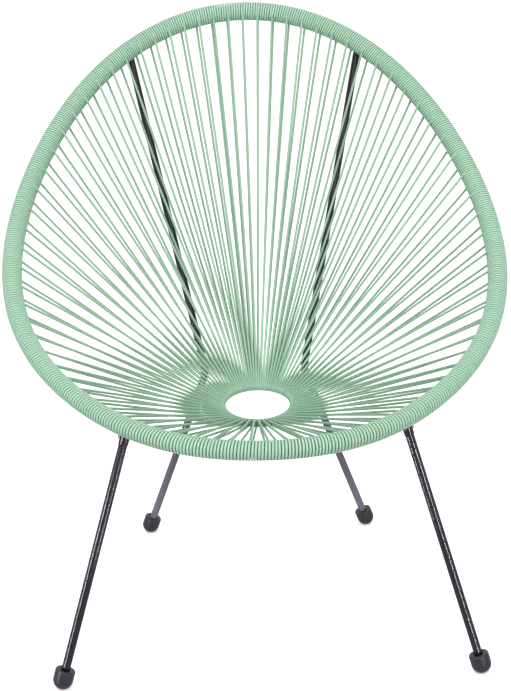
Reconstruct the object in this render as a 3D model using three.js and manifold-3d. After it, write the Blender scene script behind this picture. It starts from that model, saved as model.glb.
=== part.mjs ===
// Acapulco lounge chair: an egg-shaped steel rim and a small steel ring are wound with one
// plastic cord, whose strands run between them in two layers and make the seat. Two long bent
// rods hold the rim's back and end in the rear feet. The front legs plug into sockets under two
// short bars that cross the rim's front curves.
// Units are millimetres, +Z is up, the chair faces -Y and +X is on the right of a viewer in
// front of it.
import * as THREE from 'three';
import { mergeVertices } from 'three/addons/utils/BufferGeometryUtils.js';
import Module from 'manifold-3d';

const wasm = await Module();
wasm.setup();

// Rim: its centre line, seen from above and from the side.
const RIM_HALF_WIDTH = 350;
const RIM_WIDEN_SHARES = [1, 0.2857, -0.049, -0.0138, 0.1053];
const RIM_ADVANCE_SHARE = -0.2732;
const RIM_FRONT = { y: -370, z: 354 };
const RIM_SEAT_BEND = { y: -110, z: 396 };
const RIM_BACK_BEND = { y: 210, z: 520 };
const RIM_TOP = { y: 410, z: 854 };

// Rim section: the tube is a flat oval, wider in the direction of the seat than across it.
const RIM_TUBE_INWARD_RADIUS = 10.9;
const RIM_TUBE_ACROSS_RADIUS = 8.9;

// Seat ring.
const RING_CENTRE = { y: 120, z: 266 };
const RING_RADIUS = 57.2;
const RING_WIRE_RADIUS = 3.6;
const RING_TILT = THREE.MathUtils.degToRad(13.5);

// Cord.
const CORD_DIAMETER = 3.6;
const LOOP_COUNT = 78;
const SECTOR_COUNT = 13;
const RIM_CROWDING_SHARE = 0.28;
const RING_CROWDING_SHARE = 0.3;
const UNDER_STRAND_SWING_SHARE = 0.3;
const STRAND_HALF_WIDTH_SHARE = 0.45;
const STRAND_STAY_CLEARANCE = 2.5;

// Rods, bars and sockets.
const ROD_RADIUS = 6;
const REAR_BEND = { x: 80, y: 240, z: 287 };
const REAR_BEND_RADIUS = 30;
const REAR_FOOT = { x: 187, y: 279 };
const STAY_RIM_ANGLE = THREE.MathUtils.degToRad(114.5);
const STAY_END_OVERLAP = 6;
const BAR_OUTER_RIM_ANGLE = THREE.MathUtils.degToRad(204);
const BAR_INNER_RIM_ANGLE = THREE.MathUtils.degToRad(245);
const BAR_DROP = 7.5;
const FRONT_LEG_BAR_SHARE = 0.61;
const FRONT_FOOT = { x: 288, y: -294 };
const SOCKET_RADIUS = 6.8;
const SOCKET_START = 3;
const SOCKET_END = 30;
const SPIGOT_RADIUS = 4.5;
const SPIGOT_START = 8;
const SPIGOT_FIT = 0.3;

// Screw that locks each front leg in its socket.
const SCREW_RADIUS = 1.9;
const SCREW_FIT = 0.3;
const SCREW_HEAD_RADIUS = 3.4;
const SCREW_HEAD_HEIGHT = 2.2;
const SCREW_DEPTH_IN_SPIGOT = 3;
const SCREW_PLACE = 20;

// Foot caps.
const CAP_RADIUS = 13.8;
const CAP_FLAT_DEPTH = 1;
const CAP_WALL_HEIGHT = 15;
const CAP_EDGE_RADIUS = 3;
const CAP_BORE_FIT = 0.3;
const CAP_FLOOR_THICKNESS = 9;

// Clearance between touching pieces, and how far a cutting solid runs past what it cuts.
const GAP = 0.3;
const OVERRUN = 20;

// Facets.
const RIM_CORNERS_DEG = [0, 50, 74, 127, 180, 233, 286, 310];
const RING_CORNERS_DEG = [0, 51, 102, 142, 180, 218, 258, 309];
const CORNER_SHARE = 1.08;
const ROD_SIDES = 12;
const CAP_SIDES = 16;
const CAP_EDGE_STEPS = 2;
const RING_STATIONS_A_SECTOR = 3;
const BEND_STEPS = 6;
const ARC_DIVISIONS = 2000;
const STEEP_SHARE = 0.9;

const UP = new THREE.Vector3(0, 0, 1);
const TAU = 2 * Math.PI;

const CORD = { color: 0xa3c4ad, roughness: 0.55, metalness: 0 };
const BLACK_STEEL = { color: 0x2b2930, roughness: 0.45, metalness: 0.35 };
const ZINC = { color: 0x8d9094, roughness: 0.4, metalness: 0.9 };
const CAP_PLASTIC = { color: 0x55535a, roughness: 0.6, metalness: 0 };

const chair = new THREE.Group();

/** Adds one named piece with its own material. */
function addPiece(name, geometry, look) {
  const mesh = new THREE.Mesh(geometry, new THREE.MeshStandardMaterial(look));
  mesh.name = name;
  chair.add(mesh);
  return mesh;
}

/** Turns a closed geometry into a solid that can be joined and cut. */
function solidOf(geometry) {
  const bare = geometry.clone();
  bare.deleteAttribute('normal');
  bare.deleteAttribute('uv');
  const merged = mergeVertices(bare);
  return new wasm.Manifold(new wasm.Mesh({
    numProp: 3,
    vertProperties: new Float32Array(merged.attributes.position.array),
    triVerts: new Uint32Array(merged.index.array),
  }));
}

/** Turns a solid back into a geometry. */
function geometryOf(solid) {
  const mesh = solid.getMesh();
  const geometry = new THREE.BufferGeometry();
  geometry.setAttribute('position', new THREE.BufferAttribute(mesh.vertProperties, 3));
  geometry.setIndex(new THREE.BufferAttribute(mesh.triVerts, 1));
  const flat = geometry.toNonIndexed();
  flat.computeVertexNormals();
  return flat;
}

/** Joins rings of points into a closed skin, with flat ends unless the path closes on itself. */
function loft(rings, closesOnItself = false) {
  const sides = rings[0].length;
  const points = rings.flat();
  const index = [];
  const last = closesOnItself ? rings.length : rings.length - 1;
  for (let i = 0; i < last; i += 1) {
    const a = i * sides;
    const b = ((i + 1) % rings.length) * sides;
    for (let j = 0; j < sides; j += 1) {
      const k = (j + 1) % sides;
      index.push(a + j, a + k, b + j, a + k, b + k, b + j);
    }
  }
  if (!closesOnItself) {
    const end = (rings.length - 1) * sides;
    for (let j = 1; j < sides - 1; j += 1) {
      index.push(0, j + 1, j, end, end + j, end + j + 1);
    }
  }
  const geometry = new THREE.BufferGeometry().setFromPoints(points);
  geometry.setIndex(index);
  return geometry;
}

/** Ring of points round a centre at the named angles, from inward (0) towards across (90). */
function cornerRing(frame, inwardRadius, acrossRadius, cornersDeg) {
  return cornersDeg.map((degrees) => {
    const angle = THREE.MathUtils.degToRad(degrees);
    return frame.centre.clone()
      .addScaledVector(frame.inward, inwardRadius * CORNER_SHARE * Math.cos(angle))
      .addScaledVector(frame.across, acrossRadius * CORNER_SHARE * Math.sin(angle));
  });
}

/** How far out the corners lie of an even section whose flats are at a radius. */
function cornerRadius(radius, sides) {
  return radius / Math.cos(Math.PI / sides);
}

/** Round section of a rod, whose flats lie at its radius. */
function rodRing(frame, radius, sides) {
  const corner = cornerRadius(radius, sides);
  return Array.from({ length: sides }, (_, j) => {
    const angle = (j + 1 / 2) * TAU / sides;
    return frame.centre.clone()
      .addScaledVector(frame.inward, corner * Math.cos(angle))
      .addScaledVector(frame.across, corner * Math.sin(angle));
  });
}

/** Centre line of the rim: t runs from the top of the back round by the -X side. */
class RimCurve extends THREE.Curve {
  getPoint(t, target = new THREE.Vector3()) {
    const angle = Math.PI / 2 + TAU * t;
    const rise = Math.sin(angle);
    let widen = 0;
    RIM_WIDEN_SHARES.forEach((share, power) => { widen += share * rise ** power; });
    const even = (rise + 1) / 2;
    const s = even + RIM_ADVANCE_SHARE * even * (1 - even);
    const weights = [(1 - s) ** 3, 3 * s * (1 - s) ** 2, 3 * s * s * (1 - s), s ** 3];
    const corners = [RIM_FRONT, RIM_SEAT_BEND, RIM_BACK_BEND, RIM_TOP];
    const y = corners.reduce((sum, corner, i) => sum + weights[i] * corner.y, 0);
    const z = corners.reduce((sum, corner, i) => sum + weights[i] * corner.z, 0);
    return target.set(Math.cos(angle) * RIM_HALF_WIDTH * widen, y, z);
  }
}

const rim = new RimCurve();
rim.arcLengthDivisions = ARC_DIVISIONS;
const ringCentre = new THREE.Vector3(0, RING_CENTRE.y, RING_CENTRE.z);
const ringBack = new THREE.Vector3(0, Math.cos(RING_TILT), Math.sin(RING_TILT));
const ringUp = new THREE.Vector3(0, -Math.sin(RING_TILT), Math.cos(RING_TILT));

/** Frame on the rim from a centre and its direction: in towards the ring, and up to the sitter. */
function frameAt(centre, tangent) {
  const inward = ringCentre.clone().sub(centre);
  inward.addScaledVector(tangent, -inward.dot(tangent)).normalize();
  const across = tangent.clone().cross(inward).normalize();
  return { centre, tangent, inward, across };
}

/** Frame on the rim at a share of its loops, which lie closer together at the back and front. */
function rimFrame(loopShare) {
  const lengthShare = loopShare - RIM_CROWDING_SHARE * Math.sin(2 * TAU * loopShare) / (2 * TAU);
  const u = ((lengthShare % 1) + 1) % 1;
  return frameAt(rim.getPointAt(u), rim.getTangentAt(u));
}

/** Frame on the rim at an angle seen from above, where a right angle is the top of the back. */
function rimFrameAtAngle(angle) {
  const t = (((angle - Math.PI / 2) / TAU) % 1 + 1) % 1;
  return frameAt(rim.getPoint(t), rim.getTangent(t));
}

/** Frame on the seat ring at a share of the loops, turned so that its strand leaves outward. */
function ringFrame(loopShare) {
  const turn = loopShare - RING_CROWDING_SHARE * Math.sin(TAU * loopShare) / TAU;
  const angle = Math.PI / 2 + TAU * turn;
  const outward = new THREE.Vector3(Math.cos(angle), 0, 0).addScaledVector(ringBack, Math.sin(angle));
  const tangent = new THREE.Vector3(-Math.sin(angle), 0, 0).addScaledVector(ringBack, Math.cos(angle));
  const centre = ringCentre.clone().addScaledVector(outward, RING_RADIUS);
  const strand = rimFrame(loopShare).centre.sub(centre);
  const aside = strand.dot(tangent);
  const inward = strand.addScaledVector(tangent, -aside).negate();
  const lean = -aside / inward.length();
  inward.normalize();
  return { centre, tangent, inward, across: tangent.clone().cross(inward), lean };
}

/** Leans a ring frame's section along its strand, so that sectors part between strands. */
function leaning(frame) {
  return { ...frame, inward: frame.inward.clone().addScaledVector(frame.tangent, frame.lean) };
}

/** Moves a frame's centre along its own direction. */
function shifted(frame, distance) {
  return { ...frame, centre: frame.centre.clone().addScaledVector(frame.tangent, distance) };
}

const LOOPS_A_SECTOR = LOOP_COUNT / SECTOR_COUNT;

/** Frame on the straight stretch of the rim between two loops, so that all skins keep step. */
function rimStation(loop) {
  const low = Math.floor(loop);
  const a = rimFrame(low / LOOP_COUNT);
  const b = rimFrame((low + 1) / LOOP_COUNT);
  const share = loop - low;
  return {
    centre: a.centre.lerp(b.centre, share),
    tangent: a.tangent.lerp(b.tangent, share).normalize(),
    inward: a.inward.lerp(b.inward, share).normalize(),
    across: a.across.lerp(b.across, share).normalize(),
  };
}

/** Section rings of the rim's tube at each loop, or of its bore when they are grown. */
function rimTubeRings(firstLoop, count, growth) {
  return Array.from({ length: count }, (_, i) => {
    const frame = rimFrame((firstLoop + i) / LOOP_COUNT);
    const inwardRadius = RIM_TUBE_INWARD_RADIUS + growth;
    return cornerRing(frame, inwardRadius, RIM_TUBE_ACROSS_RADIUS + growth, RIM_CORNERS_DEG);
  });
}

/** Section rings of the seat ring's wire, or of its bore when they are grown. */
function ringWireRings(firstStep, count, growth) {
  const radius = RING_WIRE_RADIUS + growth;
  return Array.from({ length: count }, (_, i) => {
    const frame = ringFrame((firstStep + i) / (SECTOR_COUNT * RING_STATIONS_A_SECTOR));
    return cornerRing(frame, radius, radius, RING_CORNERS_DEG);
  });
}

/** Straight round rod between two points, with the facets' flats at its radius. */
function rod(start, end, radius, sides = ROD_SIDES) {
  const tangent = end.clone().sub(start).normalize();
  const helper = Math.abs(tangent.z) < STEEP_SHARE ? UP : new THREE.Vector3(1, 0, 0);
  const across = helper.clone().cross(tangent).normalize();
  const inward = across.clone().cross(tangent);
  const ends = [start, end].map((centre) => rodRing({ centre, inward, across }, radius, sides));
  return loft(ends);
}

/** Round rod that bends once between two straight stretches. */
function bentRod(start, corner, end, bendRadius, radius) {
  const first = corner.clone().sub(start).normalize();
  const second = end.clone().sub(corner).normalize();
  const turn = first.angleTo(second);
  const reach = bendRadius * Math.tan(turn / 2);
  const axis = first.clone().cross(second).normalize();
  const bendStart = corner.clone().addScaledVector(first, -reach);
  const toCentre = axis.clone().cross(first).normalize();
  const bendCentre = bendStart.clone().addScaledVector(toCentre, bendRadius);
  const rings = [];
  const addRing = (centre, tangent) => {
    const across = axis.clone();
    const inward = across.clone().cross(tangent).normalize();
    rings.push(rodRing({ centre, inward, across }, radius, ROD_SIDES));
  };
  addRing(start, first);
  for (let i = 0; i <= BEND_STEPS; i += 1) {
    const angle = turn * i / BEND_STEPS;
    const spoke = toCentre.clone().negate().applyAxisAngle(axis, angle);
    const centre = bendCentre.clone().addScaledVector(spoke, bendRadius);
    addRing(centre, first.clone().applyAxisAngle(axis, angle));
  }
  addRing(end, second);
  return loft(rings);
}

/** Lathed piece whose own +Y axis is laid along a direction from a place. */
function turned(profile, sides, place, direction) {
  const geometry = new THREE.LatheGeometry(profile.map(([r, h]) => new THREE.Vector2(r, h)), sides);
  const turn = new THREE.Quaternion().setFromUnitVectors(new THREE.Vector3(0, 1, 0), direction);
  geometry.applyQuaternion(turn);
  geometry.translate(place.x, place.y, place.z);
  return geometry;
}

/** A named place as a vector on one side of the chair: side is -1 on the left, 1 on the right. */
function sidePoint(place, side, z = 0) {
  return new THREE.Vector3(side * place.x, place.y, place.z ?? z);
}

/** Mirrors a point of the left side onto the named side. */
function onSide(point, side) {
  return side < 0 ? point.clone() : new THREE.Vector3(-point.x, point.y, point.z);
}

const SIDES = [['left', -1], ['right', 1]];

// Rim tube and ring wire, each closed on itself.
const ringSteps = SECTOR_COUNT * RING_STATIONS_A_SECTOR;
addPiece('rim_tube', loft(rimTubeRings(0, LOOP_COUNT, 0), true), BLACK_STEEL);
addPiece('seat_ring', loft(ringWireRings(0, ringSteps, 0), true), BLACK_STEEL);
const rimBore = solidOf(loft(rimTubeRings(0, LOOP_COUNT, GAP), true));

// Lines of the rods on the left side.
const stayFrame = rimFrameAtAngle(STAY_RIM_ANGLE);
const stayOffset = RIM_TUBE_ACROSS_RADIUS + ROD_RADIUS + GAP;
const stayTop = stayFrame.centre.clone().addScaledVector(stayFrame.across, -stayOffset);
const rearCorner = sidePoint(REAR_BEND, -1);
const stayStart = stayTop.clone()
  .addScaledVector(rearCorner.clone().sub(stayTop).normalize(), -STAY_END_OVERLAP);
const rearFoot = sidePoint(REAR_FOOT, -1);
const rearDown = rearFoot.clone().sub(rearCorner).normalize();

const drop = new THREE.Vector3(0, 0, -BAR_DROP);
const barStart = rimFrameAtAngle(BAR_OUTER_RIM_ANGLE).centre.add(drop);
const barEnd = rimFrameAtAngle(BAR_INNER_RIM_ANGLE).centre.add(drop);
const legTop = barStart.clone().lerp(barEnd, FRONT_LEG_BAR_SHARE);
const frontFoot = sidePoint(FRONT_FOOT, -1);
const frontDown = frontFoot.clone().sub(legTop).normalize();

/** How far along a leg's line its cap's dome has its centre: one flat depth under its radius. */
function capPlace(foot, down) {
  return foot.clone().addScaledVector(down, (CAP_RADIUS - CAP_FLAT_DEPTH) / down.z);
}

/** Bullet-shaped cap with a blind bore for the rod, cut flat at the floor. */
function footCap(foot, down) {
  const centre = capPlace(foot, down);
  const bore = (cornerRadius(ROD_RADIUS, ROD_SIDES) + CAP_BORE_FIT) / Math.cos(Math.PI / CAP_SIDES);
  const profile = [[0, -CAP_RADIUS]];
  const domeSteps = CAP_SIDES / 4;
  for (let i = 1; i <= domeSteps; i += 1) {
    const angle = Math.PI / 2 * i / domeSteps;
    profile.push([CAP_RADIUS * Math.sin(angle), -CAP_RADIUS * Math.cos(angle)]);
  }
  for (let i = 1; i <= CAP_EDGE_STEPS; i += 1) {
    const angle = Math.PI / 2 * i / CAP_EDGE_STEPS;
    profile.push([
      CAP_RADIUS - CAP_EDGE_RADIUS * (1 - Math.cos(angle)),
      CAP_WALL_HEIGHT - CAP_EDGE_RADIUS * (1 - Math.sin(angle)),
    ]);
  }
  const boreFloor = CAP_FLOOR_THICKNESS - CAP_RADIUS;
  profile.push([bore, CAP_WALL_HEIGHT], [bore, boreFloor], [0, boreFloor]);
  const cap = solidOf(turned(profile, CAP_SIDES, centre, down.clone().negate()));
  const floor = new THREE.BoxGeometry(2 * OVERRUN, 2 * OVERRUN, 2 * OVERRUN);
  floor.translate(foot.x, foot.y, -OVERRUN);
  return geometryOf(cap.subtract(solidOf(floor)));
}

/** Where a leg's rod ends inside its cap. */
function legTip(foot, down) {
  return capPlace(foot, down).addScaledVector(down, CAP_RADIUS - CAP_FLOOR_THICKNESS - GAP);
}

const cutters = [];
for (const [name, side] of SIDES) {
  // Rear frame: the back stay and the rear leg are one bent rod, shaped to the rim's tube on top.
  const stay = onSide(stayStart, side);
  const corner = onSide(rearCorner, side);
  const foot = onSide(rearFoot, side);
  const down = foot.clone().sub(corner).normalize();
  const frame = solidOf(bentRod(stay, corner, legTip(foot, down), REAR_BEND_RADIUS, ROD_RADIUS));
  addPiece(`rear_frame_${name}`, geometryOf(frame.subtract(rimBore)), BLACK_STEEL);
  cutters.push(solidOf(bentRod(
    stay.clone().addScaledVector(corner.clone().sub(stay).normalize(), -GAP),
    corner, foot, REAR_BEND_RADIUS, ROD_RADIUS + GAP,
  )));
  addPiece(`foot_cap_rear_${name}`, footCap(foot, down), CAP_PLASTIC);

  // Front bar: a rod across the rim's front curve, shaped to the tube at both ends.
  const barFrom = onSide(barStart, side);
  const barTo = onSide(barEnd, side);
  const barAlong = barTo.clone().sub(barFrom).normalize();
  const bar = solidOf(rod(barFrom, barTo, ROD_RADIUS));
  addPiece(`front_bar_${name}`, geometryOf(bar.subtract(rimBore)), BLACK_STEEL);
  const grownBar = solidOf(rod(
    barFrom.clone().addScaledVector(barAlong, -GAP),
    barTo.clone().addScaledVector(barAlong, GAP),
    ROD_RADIUS + GAP,
  ));
  cutters.push(grownBar);

  // Leg socket under the bar, with a blind bore from below and a screw hole from outside.
  const top = onSide(legTop, side);
  const frontPlace = onSide(frontFoot, side);
  const legDown = frontPlace.clone().sub(top).normalize();
  const screwOut = new THREE.Vector3(side, 0, 0);
  screwOut.addScaledVector(legDown, -screwOut.dot(legDown)).normalize();
  const screwCentre = top.clone().addScaledVector(legDown, SCREW_PLACE);
  const screwTip = SPIGOT_RADIUS - SCREW_DEPTH_IN_SPIGOT;
  const screwHole = solidOf(rod(
    screwCentre.clone().addScaledVector(screwOut, screwTip - GAP),
    screwCentre.clone().addScaledVector(screwOut, SOCKET_RADIUS + OVERRUN),
    SCREW_RADIUS + SCREW_FIT,
  ));
  const boreRadius = SPIGOT_RADIUS + SPIGOT_FIT;
  const socket = solidOf(turned([
    [0, SOCKET_START], [SOCKET_RADIUS, SOCKET_START], [SOCKET_RADIUS, SOCKET_END],
    [boreRadius, SOCKET_END], [boreRadius, SPIGOT_START], [0, SPIGOT_START],
  ], CAP_SIDES, top, legDown));
  const saddled = socket.subtract(grownBar).subtract(rimBore);
  addPiece(`leg_socket_${name}`, geometryOf(saddled.subtract(screwHole)), BLACK_STEEL);
  cutters.push(solidOf(rod(
    top.clone().addScaledVector(legDown, SOCKET_START - GAP),
    top.clone().addScaledVector(legDown, SOCKET_END + GAP),
    SOCKET_RADIUS + GAP,
  )));

  // Front leg: its spigot stands in the socket and its shoulder meets the socket's lower face.
  const tip = legTip(frontPlace, legDown).sub(top).dot(legDown);
  const leg = solidOf(turned([
    [0, SPIGOT_START + GAP], [SPIGOT_RADIUS, SPIGOT_START + GAP], [SPIGOT_RADIUS, SOCKET_END + GAP],
    [ROD_RADIUS, SOCKET_END + GAP], [ROD_RADIUS, tip], [0, tip],
  ], CAP_SIDES, top, legDown));
  addPiece(`front_leg_${name}`, geometryOf(leg.subtract(screwHole)), BLACK_STEEL);
  addPiece(`foot_cap_front_${name}`, footCap(frontPlace, legDown), CAP_PLASTIC);

  // Locking screw.
  const headFrom = SOCKET_RADIUS + GAP;
  addPiece(`leg_screw_${name}`, turned([
    [0, screwTip], [SCREW_RADIUS, screwTip], [SCREW_RADIUS, headFrom], [SCREW_HEAD_RADIUS, headFrom],
    [SCREW_HEAD_RADIUS, headFrom + SCREW_HEAD_HEIGHT], [0, headFrom + SCREW_HEAD_HEIGHT],
  ], ROD_SIDES, screwCentre, screwOut), ZINC);
}

// Facets of the two windings that a strand joins, in the upper and the lower layer: on the rim a
// facet from corner j to j + 1, and on the ring one from corner k to k + 1.
const UPPER = { rimCorner: 1, ringCorner: 2 };
const LOWER = { rimCorner: 6, ringCorner: 5 };

/** Pushes the two triangles of a quad given by its corners in order, folded outward. */
function pushQuad(points, index, a, b, c, d) {
  const [first, second, third] = [b, c, d].map((corner) => points[corner].clone().sub(points[a]));
  if (first.cross(second).dot(third) > 0) {
    index.push(a, b, d, b, c, d);
  } else {
    index.push(a, b, c, a, c, d);
  }
}

/** Skin of a row of rings, with flat ends, that leaves out the named facets. */
function pushSkin(points, index, base, count, sides, leftOut) {
  for (let i = 0; i < count - 1; i += 1) {
    for (let j = 0; j < sides; j += 1) {
      const k = (j + 1) % sides;
      const near = base + i * sides;
      const far = near + sides;
      if (!leftOut.has(`${i} ${j}`)) {
        pushQuad(points, index, near + j, near + k, far + k, far + j);
      }
    }
  }
  const end = base + (count - 1) * sides;
  for (let j = 1; j < sides - 1; j += 1) {
    index.push(base, base + j + 1, base + j, end, end + j, end + j + 1);
  }
}

/** One sector's outer skin: both windings, joined by strands that run from facet to facet. */
function cordSkin(rimRings, ringRings, joints) {
  const rimSides = RIM_CORNERS_DEG.length;
  const ringSides = RING_CORNERS_DEG.length;
  const ringBase = rimRings.length * rimSides;
  const rimLeftOut = new Set();
  const ringLeftOut = new Set();
  const points = [...rimRings.flat(), ...ringRings.flat()];
  const index = [];
  for (const { rimRow, rimCorner, ringRow, ringCorner } of joints) {
    rimLeftOut.add(`${rimRow} ${rimCorner}`);
    ringLeftOut.add(`${ringRow} ${ringCorner}`);
    const rimNear = rimRow * rimSides + rimCorner;
    const ringNear = ringBase + ringRow * ringSides + ringCorner;
    const atRim = [rimNear, rimNear + 1, rimNear + rimSides + 1, rimNear + rimSides];
    const atRing = [ringNear + 1, ringNear, ringNear + ringSides, ringNear + ringSides + 1];
    for (let i = 0; i < 4; i += 1) {
      const k = (i + 1) % 4;
      pushQuad(points, index, atRim[i], atRim[k], atRing[k], atRing[i]);
    }
  }
  pushSkin(points, index, 0, rimRings.length, rimSides, rimLeftOut);
  pushSkin(points, index, ringBase, ringRings.length, ringSides, ringLeftOut);
  const geometry = new THREE.BufferGeometry().setFromPoints(points);
  geometry.setIndex(index);
  return geometry;
}

/** How far a lower strand steps along the rim, so that it passes beside a stay's top end. */
function stepAside(loop) {
  const { centre, tangent } = rimStation(loop);
  const room = ROD_RADIUS + CORD_DIAMETER / 2 + STRAND_STAY_CLEARANCE;
  for (const [, side] of SIDES) {
    const offset = centre.clone().sub(onSide(stayFrame.centre, side));
    const along = offset.dot(tangent);
    if (offset.length() < 2 * room && Math.abs(along) < room) {
      return Math.sign(along) * room - along;
    }
  }
  return 0;
}

/** Where a loop's lower strand leaves the rim: off its upper strand, away from the middle plane. */
function underLoop(loop) {
  const swung = loop + UNDER_STRAND_SWING_SHARE * Math.sin(2 * TAU * loop / LOOP_COUNT);
  const step = rimStation(loop + 1).centre.distanceTo(rimStation(loop).centre);
  const place = swung + stepAside(swung) / step;
  return Math.abs(place - loop) * step < CORD_DIAMETER ? loop : place;
}

/** Half a strand's width on the ring, where the crowded turns can leave less than its own. */
function ringHalfWidth(loop) {
  const [before, after] = [loop - 1 / 2, loop + 1 / 2].map((at) => ringFrame(at / LOOP_COUNT).centre);
  const innerShare = 1 - (RING_WIRE_RADIUS + CORD_DIAMETER) / RING_RADIUS;
  const room = before.distanceTo(after) * innerShare / 2 - GAP;
  return Math.min(CORD_DIAMETER * STRAND_HALF_WIDTH_SHARE, room);
}

/** One sector of the cord: its winding on the rim, its strands and its winding on the ring. */
function cordSector(sector) {
  const firstLoop = sector * LOOPS_A_SECTOR;
  const halfWidth = CORD_DIAMETER * STRAND_HALF_WIDTH_SHARE;
  const rimRings = [];
  const ringRings = [];
  const joints = [];
  const addRim = (loop, shift) => {
    const frame = shifted(rimStation(loop), shift);
    const inwardRadius = RIM_TUBE_INWARD_RADIUS + CORD_DIAMETER;
    const acrossRadius = RIM_TUBE_ACROSS_RADIUS + CORD_DIAMETER;
    rimRings.push(cornerRing(frame, inwardRadius, acrossRadius, RIM_CORNERS_DEG));
  };
  const addRing = (loop, shift) => {
    const frame = leaning(shifted(ringFrame(loop / LOOP_COUNT), shift));
    const radius = RING_WIRE_RADIUS + CORD_DIAMETER;
    ringRings.push(cornerRing(frame, radius, radius, RING_CORNERS_DEG));
  };
  const seam = firstLoop - 1 / 2;
  addRim(seam, GAP / 2);
  addRing(seam, GAP / 2);
  for (let i = 0; i < LOOPS_A_SECTOR; i += 1) {
    const loop = firstLoop + i;
    const under = underLoop(loop);
    for (const place of new Set([Math.min(loop, under), Math.max(loop, under)])) {
      const layers = [[UPPER, loop], [LOWER, under]].filter(([, own]) => own === place);
      for (const [layer] of layers) {
        joints.push({ ...layer, rimRow: rimRings.length, ringRow: ringRings.length });
      }
      addRim(place, -halfWidth);
      addRim(place, halfWidth);
    }
    addRing(loop, -ringHalfWidth(loop));
    addRing(loop, ringHalfWidth(loop));
  }
  addRim(seam + LOOPS_A_SECTOR, -GAP / 2);
  addRing(seam + LOOPS_A_SECTOR, -GAP / 2);
  const rimHole = solidOf(loft(rimTubeRings(firstLoop - 2, LOOPS_A_SECTOR + 4, GAP)));
  const firstStep = sector * RING_STATIONS_A_SECTOR - 1;
  const ringHole = solidOf(loft(ringWireRings(firstStep, RING_STATIONS_A_SECTOR + 3, GAP)));
  const cord = solidOf(cordSkin(rimRings, ringRings, joints)).subtract(rimHole).subtract(ringHole);
  return geometryOf(cutters.reduce((rest, cutter) => rest.subtract(cutter), cord));
}

for (let sector = 0; sector < SECTOR_COUNT; sector += 1) {
  const number = String(sector + 1).padStart(2, '0');
  addPiece(`seat_cord_${number}`, cordSector(sector), CORD);
}

// The origin comes to lie on the floor under the middle of the chair's length.
chair.position.y = -new THREE.Box3().setFromObject(chair).getCenter(new THREE.Vector3()).y;

export default chair;
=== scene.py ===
"""Acapulco lounge chair, dressed for rendering.

The rim and the small seat ring are wound with one mint green vinyl cord. The same cord runs between
them in an upper and a lower layer and makes the seat. The frame is of black rods, with moulded foot
caps. Lengths are in metres, +Z is up and the chair faces -Y. Left is -X.
"""
from __future__ import annotations

import logging
import math
from dataclasses import dataclass, field
from enum import Enum

import bpy
import numpy as np
from mathutils import Matrix


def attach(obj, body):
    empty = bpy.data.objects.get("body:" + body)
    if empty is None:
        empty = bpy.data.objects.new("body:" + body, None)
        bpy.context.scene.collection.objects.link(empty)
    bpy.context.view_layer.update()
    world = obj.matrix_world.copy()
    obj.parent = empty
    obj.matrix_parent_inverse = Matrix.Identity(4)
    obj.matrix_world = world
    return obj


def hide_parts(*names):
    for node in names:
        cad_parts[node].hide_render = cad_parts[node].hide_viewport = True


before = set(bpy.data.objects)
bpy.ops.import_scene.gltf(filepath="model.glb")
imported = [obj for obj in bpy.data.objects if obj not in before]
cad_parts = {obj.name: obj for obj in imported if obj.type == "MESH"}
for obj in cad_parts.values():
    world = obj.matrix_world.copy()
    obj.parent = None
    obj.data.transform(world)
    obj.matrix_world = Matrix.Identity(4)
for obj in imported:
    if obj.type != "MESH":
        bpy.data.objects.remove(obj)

LOG = logging.getLogger("acapulco_chair")
MM = 0.001
TAU = 2 * math.pi
X_AXIS = np.array([1.0, 0.0, 0.0])
Y_AXIS = np.array([0.0, 1.0, 0.0])
Z_AXIS = np.array([0.0, 0.0, 1.0])
# A turned profile that ends on its axis stops this far from it.
AXIS_GAP = 0.05 * MM
# The model is centred over its length, which moves its own centre line by this much.
CENTRING = np.array([0.0, -19.212555 * MM, 0.0])


class Slot(Enum):
    """Material slots of the record."""

    CORD = "green_cord"
    STEEL = "black_steel"
    CAP = "cap_plastic"
    ZINC = "zinc"


class Side(Enum):
    """The two sides of the chair, as the sign of X."""

    LEFT = -1
    RIGHT = 1

    @property
    def word(self) -> str:
        """The side's name in lower case."""
        return self.name.lower()


# Shader expressions


@dataclass
class Shade:
    """One output socket, with operators that add Math nodes."""

    tree: bpy.types.NodeTree
    socket: bpy.types.NodeSocket

    def _math(self, operation: str, *values: "Shade | float") -> "Shade":
        """Adds a Math node on these values.

        Args:
            operation: Blender's name of the operation.
            values: Shades or plain numbers, in order.

        Returns:
            The node's value.
        """
        node = self.tree.nodes.new("ShaderNodeMath")
        node.operation = operation
        for index, value in enumerate(values):
            if isinstance(value, Shade):
                self.tree.links.new(value.socket, node.inputs[index])
            else:
                node.inputs[index].default_value = value
        return Shade(self.tree, node.outputs[0])

    def __add__(self, other: "Shade | float") -> "Shade":
        """Sum."""
        return self._math("ADD", self, other)

    __radd__ = __add__

    def __mul__(self, other: "Shade | float") -> "Shade":
        """Product."""
        return self._math("MULTIPLY", self, other)

    __rmul__ = __mul__


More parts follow.
